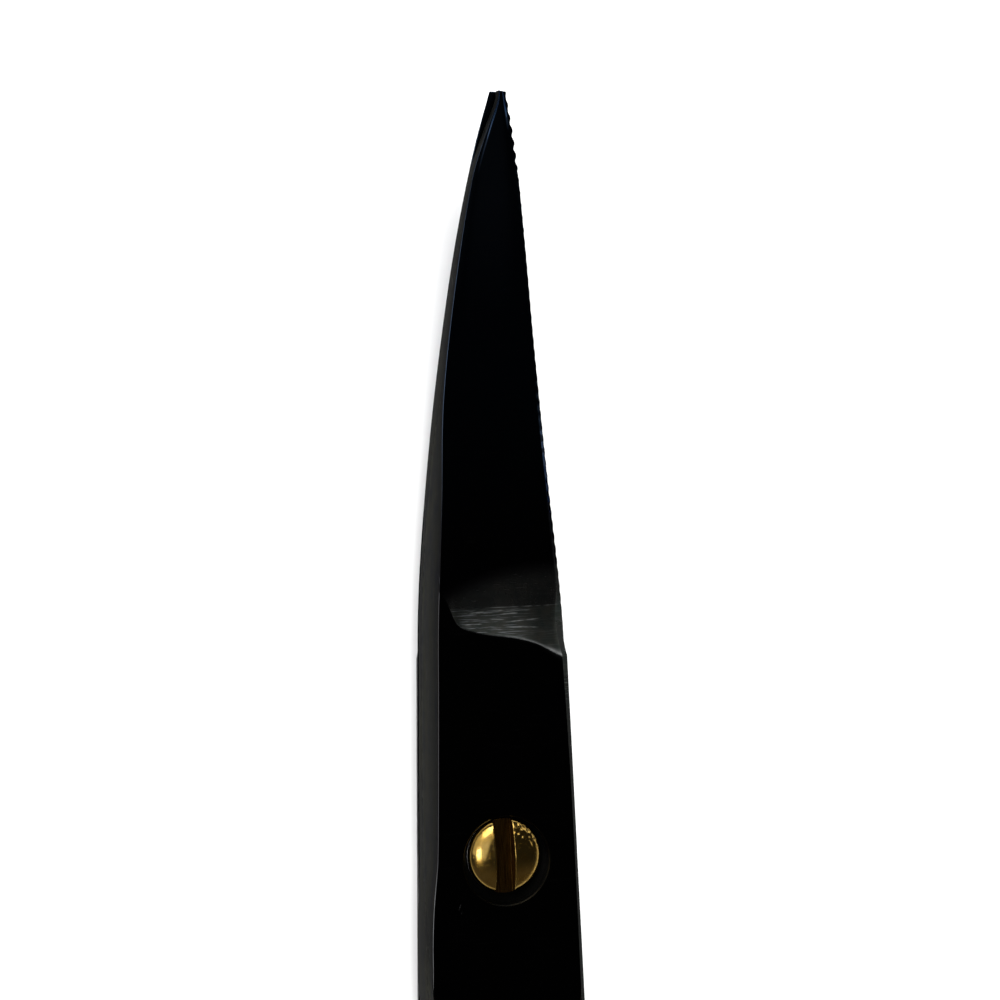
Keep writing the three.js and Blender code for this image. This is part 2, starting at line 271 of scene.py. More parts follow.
def coated_face():
    """Black coating: polished on the face, ground satin at the heel and on the chamfer, worn at the spine's
    rim by the pivot, with a painted highlight in bare-steel colour along the heel's break. The ground and
    wear shares are stored on the half's points, the wear share holding that painted highlight as well, and
    so is the rise that sets painted shade on its walls."""
    made, tree, shader, place = material("coated_face", Specular_Tint=GRAZING)
    ground = attribute(tree, "ground")
    wear = attribute(tree, "wear")
    smear = noisy(tree, stretched(tree, place, (0.5, 0.22, 0.5)), 1.0, 4.0)
    hair = maths(
        tree, "MAXIMUM",
        hairlines(tree, place, 1.45, 9.0, 5.0, 0.66, 0.74),
        hairlines(tree, place, 0.5, 8.0, 3.0, 0.7, 0.76),
    )
    parts = node(tree, "SeparateXYZ", {0: place}).outputs
    polished = blended(tree, smear, (0.02, 0.022, 0.027, 1), (0.032, 0.028, 0.027, 1))
    polished = blended(tree, ramp(tree, parts[1], 24.0, 38.0), polished, (0.03, 0.045, 0.075, 1))
    polished = blended(tree, hair, polished, (0.06, 0.06, 0.062, 1))

    lines = noisy(tree, stretched(tree, place, (0.3, 10.0, 0.3), (0, 0, math.radians(-2))), 1.0, 3.0, 0.6)
    swarm = noisy(tree, stretched(tree, place, (0.55, 16.0, 0.55), (0, 0, math.radians(5))), 1.0, 2.0, 0.6)
    below_line = ramp(tree, parts[1], 19.7, 19.5)
    band = maths(tree, "MULTIPLY", below_line, ramp(tree, parts[0], 3.0, -0.5, 0.2, 1.0))
    swarm = maths(tree, "MULTIPLY", ramp(tree, swarm, 0.56, 0.68), maths(tree, "MULTIPLY", band, ground))
    blotch = noisy(tree, place, 1.2, 4.0)
    satin = blended(tree, ramp(tree, blotch, 0.3, 0.7), (0.021, 0.026, 0.024, 1), (0.036, 0.036, 0.031, 1))
    satin = blended(tree, ramp(tree, lines, 0.55, 0.8, 0.0, 0.4), satin, (0.07, 0.075, 0.075, 1))
    satin = blended(tree, maths(tree, "MULTIPLY", swarm, 0.7), satin, (0.2, 0.21, 0.225, 1))
    tone = blended(tree, ground, polished, satin)
    nick = strokes(tree, place, NICK)
    wheel = maths(tree, "MULTIPLY", strokes(tree, place, wheel_marks()), ground)
    marks = maths(tree, "MAXIMUM", nick, wheel)
    broken = ramp(tree, noisy(tree, stretched(tree, place, (1.2, 7.0, 1.2)), 1.0, 3.0), 0.3, 0.6)
    marks = maths(tree, "MULTIPLY", marks, broken)
    # The wear share is worn coating at the spine's rim plus a painted highlight along the heel's break,
    # both drawn in bare-steel colour.
    rubbed_and_highlight = maths(tree, "MULTIPLY", wear, ramp(tree, blotch, 0.3, 0.6, 0.5, 1.0))
    bare_and_highlight = maths(tree, "MAXIMUM", marks, rubbed_and_highlight)
    tree.links.new(blended(tree, bare_and_highlight, tone, BARE_STEEL_AND_HIGHLIGHT), shader.inputs["Base Color"])
    metal = ramp(tree, ground, 0.0, 1.0, 1.0, 0.9)
    metal = maths(tree, "SUBTRACT", metal, maths(tree, "MULTIPLY", marks, 0.4))
    tree.links.new(metal, shader.inputs["Metallic"])
    rough = ramp(tree, smear, 0.35, 0.75, 0.06, 0.12)
    rough = maths(tree, "ADD", rough, maths(tree, "MULTIPLY", ground, 0.26))
    rough = maths(tree, "ADD", rough, maths(tree, "MULTIPLY", maths(tree, "MAXIMUM", hair, marks), 0.12))
    tree.links.new(rough, shader.inputs["Roughness"])
    fine = maths(tree, "SUBTRACT", maths(tree, "MULTIPLY", smear, 0.3), hair)
    grain = maths(tree, "MULTIPLY", maths(tree, "MULTIPLY", lines, ground), 3.0)
    grain = maths(tree, "SUBTRACT", grain, marks)
    bumped(tree, shader, maths(tree, "ADD", fine, grain), 0.0012, 0.5)
    return made


def coated_wall():
    """The same coating over a satin ground wall, polished again towards the handle, and darkened towards
    the wall's top as painted shade.
    """
    made, tree, shader, place = material("coated_wall", Specular_Tint=GRAZING)
    mottle = noisy(tree, place, 1.1, 5.0, 0.6)
    streaks = noisy(tree, stretched(tree, place, (4.0, 0.16, 4.0)), 1.0, 3.0)
    fine = noisy(tree, stretched(tree, place, (12.0, 0.5, 12.0)), 1.0, 2.0)
    y = node(tree, "SeparateXYZ", {0: place}).outputs[1]
    polish = ramp(tree, y, -19.0, -28.0)
    tone = blended(tree, ramp(tree, streaks, 0.4, 0.62), (0.03, 0.03, 0.024, 1), (0.022, 0.023, 0.026, 1))
    tone = blended(tree, ramp(tree, mottle, 0.35, 0.75, 0.0, 0.6), tone, (0.045, 0.045, 0.038, 1))
    tone = blended(tree, ramp(tree, fine, 0.62, 0.75, 0.0, 0.4), tone, (0.08, 0.08, 0.075, 1))
    # Painted shade: the wall goes near black towards its top, where it meets the face.
    rise = ramp(tree, attribute(tree, "rise"), 0.1, 0.9, 0.0, 0.75)
    tone = blended(tree, rise, tone, (0.006, 0.006, 0.007, 1))
    tree.links.new(blended(tree, polish, tone, (0.026, 0.026, 0.028, 1)), shader.inputs["Base Color"])
    tree.links.new(ramp(tree, polish, 0.0, 1.0, 0.85, 1.0), shader.inputs["Metallic"])
    rough = ramp(tree, mottle, 0.3, 0.7, 0.33, 0.43)
    rough = maths(tree, "ADD", rough, maths(tree, "MULTIPLY", streaks, 0.06))
    rough = maths(tree, "MULTIPLY", rough, ramp(tree, polish, 0.0, 1.0, 1.0, 0.22))
    tree.links.new(rough, shader.inputs["Roughness"])
    bumped(tree, shader, maths(tree, "ADD", maths(tree, "MULTIPLY", mottle, 0.6), fine), 0.003, 0.5)
    return made


def worn_gold():
    """Polished gold plating with dull patches and small pits."""
    made, tree, shader, place = material("worn_gold", Metallic=1.0)
    patches = noisy(tree, place, 0.9, 4.0, 0.6)
    pits = ramp(tree, noisy(tree, place, 6.0, 3.0), 0.62, 0.72)
    tone = blended(tree, ramp(tree, patches, 0.35, 0.7), (0.9, 0.6, 0.17, 1), (0.66, 0.38, 0.07, 1))
    tone = blended(tree, maths(tree, "MULTIPLY", pits, 0.5), tone, (0.3, 0.15, 0.03, 1))
    tree.links.new(tone, shader.inputs["Base Color"])
    tree.links.new(ramp(tree, patches, 0.3, 0.75, 0.1, 0.26), shader.inputs["Roughness"])
    bumped(tree, shader, maths(tree, "SUBTRACT", maths(tree, "MULTIPLY", patches, 0.8), pits), 0.008, 0.5)
    return made


def slot_painted_shade():
    """The slot's floor and walls: the gold painted dark brown as shade in the recess, with streaks along
    the slot.
    """
    made, tree, shader, place = material("slot_painted_shade", Metallic=1.0)
    streaks = noisy(tree, stretched(tree, place, (7.0, 0.5, 7.0)), 1.0, 4.0, 0.6)
    tone = blended(tree, ramp(tree, streaks, 0.35, 0.7), (0.04, 0.017, 0.003, 1), (0.17, 0.09, 0.018, 1))
    tree.links.new(tone, shader.inputs["Base Color"])
    tree.links.new(ramp(tree, streaks, 0.3, 0.7, 0.5, 0.3), shader.inputs["Roughness"])
    bumped(tree, shader, streaks, 0.02, 0.7)
    return made


def machined(name, dark, light, rough_low, rough_high):
    """Turned metal: fine rings about the pivot axis and a slow change of tone."""
    made, tree, shader, place = material(name, Metallic=1.0)
    parts = node(tree, "SeparateXYZ", {0: place}).outputs
    flat = node(tree, "CombineXYZ", {0: parts[0], 1: parts[1]}).outputs[0]
    reach = node(tree, "VectorMath", {0: flat}, operation="LENGTH").outputs[1]
    rings = node(tree, "CombineXYZ", {0: maths(tree, "MULTIPLY", reach, 9.0), 1: parts[2]}).outputs[0]
    lines = noisy(tree, rings, 1.0, 3.0)
    tone = noisy(tree, place, 0.8, 4.0)
    tree.links.new(blended(tree, tone, (*dark, 1), (*light, 1)), shader.inputs["Base Color"])
    tree.links.new(ramp(tree, lines, 0.3, 0.7, rough_low, rough_high), shader.inputs["Roughness"])
    bumped(tree, shader, lines, 0.006, 0.5)
    return made


def moulded(name, dark, light, rough_low, rough_high, grain):
    """Moulded plastic or rubber: a fine skin grain, with some polish worn into it."""
    made, tree, shader, place = material(name, Specular_IOR_Level=0.4)
    skin = noisy(tree, place, grain, 4.0, 0.65)
    wear = noisy(tree, place, 0.35, 3.0)
    tone = blended(tree, ramp(tree, wear, 0.3, 0.7), (*dark, 1), (*light, 1))
    tree.links.new(tone, shader.inputs["Base Color"])
    rough = ramp(tree, wear, 0.35, 0.7, rough_high, rough_low)
    rough = maths(tree, "ADD", rough, maths(tree, "MULTIPLY", skin, 0.1))
    tree.links.new(rough, shader.inputs["Roughness"])
    bumped(tree, shader, skin, 0.012, 0.5)
    return made


def pale_floor():
    made, tree, shader, place = material("pale_floor", Specular_IOR_Level=0.1)
    clouds = noisy(tree, place, 0.03, 4.0)
    tone = blended(tree, clouds, (0.84, 0.84, 0.84, 1), (0.88, 0.88, 0.88, 1))
    tree.links.new(tone, shader.inputs["Base Color"])
    tree.links.new(ramp(tree, clouds, 0.3, 0.7, 0.8, 0.9), shader.inputs["Roughness"])
    return made


FACE, WALL, BORE_WALL = range(3)  # material places of a half
HALF_MATERIALS = (
    coated_face(),
    coated_wall(),
    machined("bore", (0.018, 0.018, 0.016), (0.03, 0.03, 0.027), 0.25, 0.4),
)
GOLD = worn_gold()
# Painted shade for the screw's slot.
SLOT_PAINTED_SHADE = slot_painted_shade()
SPRING_STEEL = machined("spring_steel", (0.34, 0.34, 0.35), (0.5, 0.5, 0.5), 0.25, 0.4)
BRONZE = machined("bronze", (0.42, 0.24, 0.1), (0.6, 0.37, 0.17), 0.3, 0.45)
NYLON = moulded("nylon", (0.68, 0.65, 0.57), (0.78, 0.76, 0.7), 0.35, 0.5, 5.0)
RUBBER = moulded("rubber", (0.011, 0.011, 0.012), (0.022, 0.022, 0.023), 0.5, 0.72, 9.0)

# ---- outline and thickness of a half ----
half_width = profile(
    (0, 6.45), (12, 6.15), (20, 5.9), (30, 5), (40, 3.9), (50, 2.6), (56, 1.55), (TIP_Y, 0.65),
)
tip_pull = profile((0, 0), (53, 0), (57, 0.4), (59, 0.6), (TIP_Y, 0.5))
spine_inset = profile(
    (-11, 0.6), (-4, 0.7), (0, 0.95), (3, 1), (21, 1.05), (28, 0.9), (36, 0.4), (48, 0.25), (TIP_Y, 0.1),
)
spine_height = profile((HEEL_Y, 2.4), (28, 2.1), (36, 1.55), (48, 0.98), (TIP_Y, 0.6))
bevel_width = profile((HEEL_Y, 0.26), (49.5, 0.36), (TIP_Y, 0.22))
chamfer = profile((-14, 0.42), (-11, 0.4), (0, 0.35), (11.5, 0.46), (15.5, 0.56), (19.5, 0.6))
inner_line = profile(
    (-60, HANDLE_GAP), (-27, HANDLE_GAP), (-23.5, 0.75), (-20.5, -1.0), (-16.5, -4.1), (-12.5, -6.4),
    (-8, -6.75), (0, -6.44),
)
outer_line = profile((-60, 5.7), (-38, 6.3), (-30, 6.7), (-21, 6.95), (-11, 6.72), (0, 6.44))
crown = profile((-32, 1), (-13, 0), (0, 0))

# Height of the ground face, from the spine's rim (0) to the edge bevel (1).
hollow_grind = profile((0, 1), (0.07, 0.95), (0.16, 0.75), (0.3, 0.65), (0.8, 0.42), (1, 0.12))


def meeting_rise(x, y):
    """Height of the meeting surface over its height at the pivot."""
    reach = np.where(y > 0, np.hypot(x, y), 0)
    bent = np.clip(reach, CURVE_START_R, CURVE_END_R) - CURVE_START_R
    drop = np.sqrt(CURVE_RADIUS**2 - bent**2)
    return CURVE_RADIUS - drop + np.maximum(reach - CURVE_END_R, 0) * bent / drop


def heel_break(w):
    """Where the grinding wheel breaks through the flat face, for a place w across the half."""
    depth = FACE_H - spine_height(HEEL_Y) * hollow_grind(w)
    return HEEL_Y - np.sqrt(WHEEL_RADIUS**2 - (WHEEL_RADIUS - depth) ** 2)


def outer_height(w, y):
    run_out = WHEEL_RADIUS - np.sqrt(WHEEL_RADIUS**2 - np.clip(HEEL_Y - y, 0, 9) ** 2)
    ground = spine_height(np.maximum(y, HEEL_Y)) * hollow_grind(w) + run_out
    return np.where(y <= heel_break(w) + 1e-6, FACE_H, np.minimum(ground, FACE_H))


# ---- the blade, pivot and shank of a half ----
FOOT = 0.13  # rounding of the spine wall where the halves meet
HOLLOW = 0.11  # greatest depth of the underside's hollow
SIDE = 32  # segments along each of a section's four sides: outer face, edge wall, underside, spine wall
BEVEL_SEGMENTS = 20  # of the edge wall's, down to the lower edge of its bevel or chamfer
ROWS = {"pivot": 64, "rise": 14, "heel": 24, "blade": 340}
PIVOT_TOP_Y = 12.0


def row_y(w):
    """The y of every row, for a place w across the half: (rows, places)."""
    w = np.atleast_1d(w)[None, :]
    steps = {k: np.arange(n)[:, None] / n for k, n in ROWS.items()}
    turn = heel_break(w)
    return np.concatenate([
        JOIN_Y + (PIVOT_TOP_Y - JOIN_Y) * steps["pivot"] + 0 * w,
        PIVOT_TOP_Y + (turn - PIVOT_TOP_Y) * (1 - (1 - steps["rise"]) ** 1.6),
        turn + (HEEL_Y - turn) * steps["heel"] ** 1.3,
        HEEL_Y + (TIP_Y - HEEL_Y) * steps["blade"] + 0 * w,
        TIP_Y + 0 * w,
    ])


def sides(y):
    """Left and right of a half at y, and the corners of its outer face."""
    y = np.asarray(y, float)
    left = np.where(y < 0, inner_line(y), tip_pull(y) - half_width(y))
    right = np.where(y < 0, outer_line(y), half_width(y))
    ground = smoothstep(y, HEEL_Y - 4.2, HEEL_Y)
    cut = (chamfer(y) + WALL_LEAN) * (1 - ground) + bevel_width(y) * ground
    return left, right, left + spine_inset(y), right - cut


def section(side_steps=SIDE, bevel_steps=BEVEL_SEGMENTS, ys=None):
    """Points (rows, 4 * side_steps, 3) of (u, y, h) round the half. ys gives straight rows instead of the
    blade's own, which follow the heel."""
    a = np.arange(side_steps) / side_steps
    across = a**1.25

    def rows(places):
        return row_y(places) if ys is None else np.repeat(np.asarray(ys, float)[:, None], len(places), 1)

    # outer face
    y = rows(across)
    _, _, top_left, top_right = sides(y)
    face = np.stack([top_left + (top_right - top_left) * across, y, outer_height(across[None], y)], -1)

    # edge wall: down a bevel or chamfer, then down the wall itself
    y = rows(np.ones(1))
    _, right, _, top_right = sides(y)
    top = outer_height(1.0, y)
    share = top / FACE_H
    knee_h = EDGE_H * (1 - share) + (top - 0.5) * share
    knee_u = right - WALL_LEAN * share
    b = (np.arange(bevel_steps) / bevel_steps)[None]
    c = (np.arange(side_steps - bevel_steps) / (side_steps - bevel_steps))[None]
    wall_u = np.concatenate([top_right + (knee_u - top_right) * b, knee_u + (right - knee_u) * c], 1)
    wall_h = np.concatenate([top + (knee_h - top) * b, knee_h * (1 - c)], 1)
    edge = np.stack([wall_u, np.repeat(y, side_steps, 1), wall_h], -1)

    # underside, hollow along the blade
    back_across = (1 - a) ** 1.25
    y = rows(back_across)
    left, right, _, _ = sides(y)
    deep = HOLLOW * smoothstep(y, 9, 17) * (1 - 0.75 * smoothstep(y, 40, TIP_Y))
    dish = np.sin(np.pi * np.clip((1 - a - 0.06) / 0.88, 0, 1)) ** 0.7
    under = np.stack([left + (right - left) * back_across, y, deep * dish[None]], -1)

    # spine wall, rounded
    y = rows(np.zeros(1))
    left, _, top_left, _ = sides(y)
    top = outer_height(0.0, y)
    near_pivot = smoothstep(y, -6, 2) * (1 - smoothstep(y, 24, 30))
    foot = FOOT * near_pivot * (1 - smoothstep(top * a, 0, 2 * FOOT))
    spine = np.stack([left + foot + (top_left - left) * a**1.7, np.repeat(y, side_steps, 1), top * a], -1)
    return np.concatenate([face, edge, under, spine], 1)


def surface_shares(points):
    """How ground, how worn and how far up the half's thickness each of a section's points is. The wear
    share also holds a painted highlight along the heel's break; the rise sets painted shade on the walls.
    """
    y = points[..., 1]
    column = np.arange(4 * SIDE)
    w = np.where(column < SIDE, (column / SIDE) ** 1.25, 1.0)[None]
    turn = heel_break(w)
    fade = HEEL_Y + 0.8 - 2.5 * (1 - w) ** 2.35  # where the satin passes into the polished blade
    on_face = column <= SIDE
    strength = 1 - 0.35 * smoothstep(y, 19.4, 19.7)
    ground = on_face * (y > turn - 1e-6) * strength * (1 - smoothstep(y, fade - 1.4, fade + 0.5))
    on_chamfer = (column > SIDE) & (column <= SIDE + BEVEL_SEGMENTS)
    on_heel = strength * (1 - smoothstep(y, HEEL_Y - 0.6, HEEL_Y + 1.3))
    ground = np.maximum(ground, on_chamfer * np.where(y < heel_break(1.0), 0.8, on_heel))
    # Painted highlight along the heel's break, widest towards the edge where the rounded break catches
    # light; stored with the wear share and drawn in bare-steel colour.
    wear_and_highlight_width = 0.08 + 0.2 * smoothstep(w, 0.8, 1)
    wear = on_face * np.exp(-(((y - turn) / wear_and_highlight_width) ** 2)) * smoothstep(w, 0.3, 0.95)
    # Real wear: the coating rubbed off the spine's rim by the pivot.
    wear = np.maximum(wear, (column == 0) * 0.25 * (1 - smoothstep(y, -4, 0)))
    # Share of the way up the half, fading in above the join; the wall material uses it to paint shade
    # towards the wall's top.
    rise = np.clip(points[..., 2] / points[:, :1, 2], 0, 1) * smoothstep(y, y.min(), y.min() + 8)
    return ground, wear, rise


def placed(points, side):
    """(u, y, h) to the row frame, in metres."""
    x = side * points[..., 0]
    y = points[..., 1]
    z = MEETING_Z + meeting_rise(x, y) + side * (MEETING_GAP / 2 + points[..., 2])
    return np.stack([x, y, z], -1) * MM


# ---- serration of the thumb blade's edge ----
TOOTH_PITCH = 0.984
TIP_SLOPE = 0.047  # extra length along the risen tip, per millimetre of y
tooth_depth = profile((17.5, 0), (21, 0.05), (35, 0.04), (47, 0.03), (50, 0.12), (58, 0.14), (60, 0.1))


def serrated(points):
    """Cuts fine grooves across the edge bevel, set out along the curved blade."""
    out = points.copy()
    y = points[..., 1]
    bent = np.clip(y, CURVE_START_R, CURVE_END_R) - CURVE_START_R
    along = y - bent + CURVE_RADIUS * np.arcsin(bent / CURVE_RADIUS)
    along += np.maximum(y - CURVE_END_R, 0) * TIP_SLOPE
    groove = (0.5 + 0.5 * np.cos(2 * np.pi * along / TOOTH_PITCH)) ** 1.3
    reach = np.zeros(4 * SIDE)
    reach[SIDE:SIDE + BEVEL_SEGMENTS] = (np.arange(BEVEL_SEGMENTS) / BEVEL_SEGMENTS) ** 1.2
    reach[SIDE + BEVEL_SEGMENTS:2 * SIDE + 1] = 1
    reach[2 * SIDE + 1] = 0.3
    depth = tooth_depth(y) * groove * reach[None]
    out[..., 0] -= depth
    out[..., 2] -= np.where(reach[None] < 1, 0.35 * depth, 0)
    return out


# ---- the handle of a half: bar and ring as one cage, smoothed by subdivision ----
COARSE = SIDE // 4
RING_COLUMNS = 48
HALVES = {
    "finger": {"side": -1, "stretch": 1.08},
    "thumb": {"side": 1, "stretch": 1.04},
}
JOIN_FROM = math.radians(118)  # the bar runs into its ring over this arc
JOIN_TO = math.radians(178)
DROP_FROM_Y = -34.0  # below this the bar's rows follow the ring's place
PLAN_RING = (15.5, -63.2)  # the ring centre that the rows below are drawn for
BAR_ROWS_Y = (JOIN_Y, -15.2, -16.8, -18.4, -20.2, -22.2, -24.6, -27.4, -30.6, DROP_FROM_Y)
LAST_ROWS = (
    ((1.3, -39.5), (6.25, -38)), ((1.3, -45), (6.05, -41.5)), ((1.3, -50), (6.1, -44.2)),
    ((1.2, -54.5), (6.5, -46.4)), ((1.05, -58.6), (7.3, -48.1)),
)


def ring_centre(name):
    """Across and along, for the half described on its own side."""
    low, high = corner(name + "_ring_insert")
    middle = (low + high) / 2
    return np.array([abs(middle[0]), middle[1]])


def bar_section(left, right, thick, hang, inset):
    """A rounded bar's section between two plan points: (4 * COARSE, 3)."""
    left = np.array(left, float)
    right = np.array(right, float)
    a = np.arange(COARSE) / COARSE
    turn = a * np.pi
    t = np.concatenate([
        inset + (1 - 2 * inset) * a, 1 - inset + inset * np.sin(turn),
        1 - inset - (1 - 2 * inset) * a, inset - inset * np.sin(turn),
    ])
    swell = 0.06 * thick * 4 * a * (1 - a)
    mid = (thick - hang) / 2
    reach = (thick + hang) / 2
    h = np.concatenate([
        thick + swell, mid + reach * np.cos(turn), -hang - swell * hang / thick, mid - reach * np.cos(turn),
    ])
    plan = left[None] + (right - left)[None] * t[:, None]
    return np.stack([plan[:, 0], plan[:, 1], h], -1)


def bar_rows(centre):
    """Sections of the handle bar, from the join down to the ring."""
    exact = section(COARSE, COARSE * BEVEL_SEGMENTS // SIDE, BAR_ROWS_Y)
    rows = []
    for k, y in enumerate(BAR_ROWS_Y):
        share = float(crown(y))
        hang = float(2.35 * (1 - smoothstep(y, DROP_FROM_Y, -24)))
        soft = bar_section((inner_line(y), y), (outer_line(y), y), 2.4, hang, 0.3)
        rows.append(exact[k] * (1 - share) + soft * share)
    fall = (centre[1] - DROP_FROM_Y) / (PLAN_RING[1] - DROP_FROM_Y)
    for ends in LAST_ROWS:
        plan = [(x + centre[0] - PLAN_RING[0], DROP_FROM_Y + (y - DROP_FROM_Y) * fall) for x, y in ends]
        rows.append(bar_section(*plan, 2.36, 2.36, 0.33))
    return rows


def ring_columns(centre, stretch):
    """Sections of the ring, 0 on the outside and a quarter of the way round on top."""
    angles = JOIN_FROM + (JOIN_TO - JOIN_FROM) * np.arange(RING_COLUMNS) / COARSE
    closing = np.arange(RING_COLUMNS) >= COARSE
    rest_of_turn = 2 * math.pi - (JOIN_TO - JOIN_FROM)
    steps = (np.arange(RING_COLUMNS) - COARSE) / (RING_COLUMNS - COARSE)
    angles = np.where(closing, JOIN_TO + rest_of_turn * steps, angles)
    turn = np.arange(2 * COARSE) * np.pi / COARSE
    radius = RING_RADIUS + RING_HALF[0] * np.cos(turn)[None]
    return np.stack([
        centre[0] + radius * np.cos(angles)[:, None],
        centre[1] + radius * np.sin(angles)[:, None] * stretch,
        np.repeat(RING_HALF[1] * np.sin(turn)[None], RING_COLUMNS, 0),
    ], -1)


def handle_cage(name):
    half = HALVES[name]
    centre = ring_centre(name)
    mesh = bmesh.new()

    def put(point):
        return mesh.verts.new(placed(np.array(point), half["side"]))

    bars = [[put(p) for p in row] for row in bar_rows(centre)]
    open_from, open_to = COARSE // 2, 3 * COARSE // 2  # the ring's outer half is left open at the join
    columns = []
    for i, column in enumerate(ring_columns(centre, half["stretch"])):
        inside_join = 0 < i < COARSE
        columns.append([
            None if inside_join and not open_from <= j <= open_to else put(point)
            for j, point in enumerate(column)
        ])
    for one, two in zip(bars, bars[1:]):
        for j in range(4 * COARSE):
            k = (j + 1) % (4 * COARSE)
            face = mesh.faces.new((one[j], one[k], two[k], two[j]))
            face.material_index = WALL if (j // COARSE) % 2 else FACE
    for i in range(RING_COLUMNS):
        one = columns[i]
        two = columns[(i + 1) % RING_COLUMNS]
        for j in range(2 * COARSE):
            if i < COARSE and not open_from <= j < open_to:
                continue
            k = (j + 1) % (2 * COARSE)
            mesh.faces.new((one[j], one[k], two[k], two[j]))
    # the ring's open end, in the order of a bar's section: over the top, down the outer end, back, up
    end = [columns[COARSE - i][open_from] for i in range(COARSE)]
    end += [columns[0][(open_from - j) % (2 * COARSE)] for j in range(COARSE)]
    end += [columns[i][open_to] for i in range(COARSE)]
    end += [columns[COARSE][(open_to + j) % (2 * COARSE)] for j in range(COARSE)]
    for j in range(4 * COARSE):
        k = (j + 1) % (4 * COARSE)
        mesh.faces.new((bars[-1][j], bars[-1][k], end[k], end[j]))
    return mesh, [v.co.copy() for v in bars[0]]


def boundary_loop(mesh, start, toward):
    """The open edge's vertices in order, from the one nearest start and on towards the next point."""
    beside = {}
    for e in mesh.edges:
        if e.is_boundary:
            for v in e.verts:
                beside.setdefault(v, []).append(e.other_vert(v))
    first = min(beside, key=lambda v: (v.co - start).length)
    second = min(beside[first], key=lambda v: (v.co - toward).length)
    loop = [first, second]
    while True:
        following = [v for v in beside[loop[-1]] if v is not loop[-2]][0]
        if following is first:
            return loop
        loop.append(following)


BLEND_ROWS = 8  # rows over which the subdivided handle passes into the exact section


def build_half(name):
    half = HALVES[name]
    cage, first_row = handle_cage(name)
    handle = new_object(name + "_handle", cage, HALF_MATERIALS)
    handle.modifiers.new("smooth", "SUBSURF").levels = 2
    applied(handle)

    mesh = bmesh.new()
    mesh.from_mesh(handle.data)
    bpy.data.objects.remove(handle)
    layers = [mesh.verts.layers.float.new(layer) for layer in ("ground", "wear", "rise")]
    loop = boundary_loop(mesh, first_row[0], first_row[0].lerp(first_row[1], 0.25))
    points = section()
    if name == "thumb":
        points = serrated(points)
    exact = placed(points, half["side"])
    offset = np.array([v.co for v in loop]) - exact[0]
    for k in range(1, BLEND_ROWS):
        exact[k] += offset * (1 - smoothstep(k, 0, BLEND_ROWS))
    grid = [loop] + [[mesh.verts.new(p) for p in row] for row in exact[1:]]
    for layer, shares in zip(layers, surface_shares(points)):
        for row, row_shares in zip(grid, shares):
            for v, share in zip(row, row_shares):
                v[layer] = share
    for one, two in zip(grid, grid[1:]):
        for j in range(4 * SIDE):
            k = (j + 1) % (4 * SIDE)
            face = mesh.faces.new((one[j], one[k], two[k], two[j]))
            on_wall = SIDE + BEVEL_SEGMENTS <= j < 2 * SIDE or j >= 3 * SIDE
            face.material_index = WALL if on_wall else FACE
    mesh.faces.new(grid[-1]).material_index = WALL
    return new_object(name + "_half", mesh, HALF_MATERIALS)


# ---- turned and swept pieces ----
FILLET_STEPS = 5


def rounded(corners, closed=False):
    """(radius, z, fillet) corners to (radius, z) points, each corner rounded off by its fillet."""
    points = []
    for i, (r, z, fillet) in enumerate(corners):
        here = Vector((r, z))
        if not fillet or (not closed and i in (0, len(corners) - 1)):
            points.append((r, z))
            continue
        arms = []
        for other in (corners[i - 1], corners[(i + 1) % len(corners)]):
            arm = Vector(other[:2]) - here
            arms.append(here + arm.normalized() * min(fillet, arm.length * 0.48))
        for k in range(FILLET_STEPS + 1):
            t = k / FILLET_STEPS
            point = arms[0] * (1 - t) ** 2 + here * 2 * t * (1 - t) + arms[1] * t * t
            points.append((point.x, point.y))
    return points


def lathe(name, points, materials, segments=128, matrix=None, stretch=1.0, material_index=0):
    """A turned solid about Z from (radius, z) points in millimetres; closed on the axis or on itself."""
    mesh = bmesh.new()
    closed = points[0][0] > 1e-6
    rings = []
    for radius, z in points:
        if radius < 1e-6:
            rings.append([mesh.verts.new((0, 0, z * MM))])
            continue
        angles = [2 * math.pi * i / segments for i in range(segments)]
        rings.append([
            mesh.verts.new((radius * math.cos(t) * MM, radius * math.sin(t) * stretch * MM, z * MM))
            for t in angles
        ])
    pairs = list(zip(rings, rings[1:] + rings[:1])) if closed else list(zip(rings, rings[1:]))
    for one, two in pairs:
        for i in range(segments):
            k = (i + 1) % segments
            quad = [one[i % len(one)], one[k % len(one)], two[k % len(two)], two[i % len(two)]]
            mesh.faces.new(list(dict.fromkeys(quad))).material_index = material_index
    if matrix is not None:
        mesh.transform(matrix)
    return new_object(name, mesh, materials)


def at(x, y, z):
    return Matrix.Translation(Vector((x, y, z)) * MM)


def aimed(direction, place):
    """Turns +Z onto a direction and moves to a place in millimetres."""
    turn = Vector((0, 0, 1)).rotation_difference(Vector(direction)).to_matrix().to_4x4()
    return at(*place) @ turn


def cut(target, corners, matrix=None):
    """Cuts a turned shape, given by its (radius, z) corners, out of a half."""
    cutter = lathe("cutter", corners, HALF_MATERIALS, matrix=matrix, material_index=BORE_WALL)
    step = target.modifiers.new("cut", "BOOLEAN")
    step.operation = "DIFFERENCE"
    step.solver = "EXACT"
    step.object = cutter
    applied(target)
    bpy.data.objects.remove(cutter)


def crisp(obj, bore_angle=40):
    """Sharp edges where a cut meets the surface, and inside the cuts."""
    mesh = bmesh.new()
    mesh.from_mesh(obj.data)
    limit = math.radians(bore_angle)
    for e in mesh.edges:
        if len(e.link_faces) == 2:
            one, two = e.link_faces
            bores = (one.material_index == BORE_WALL) + (two.material_index == BORE_WALL)
            e.smooth = not (bores == 1 or (bores == 2 and e.calc_face_angle() > limit))
    mesh.to_mesh(obj.data)
    mesh.free()


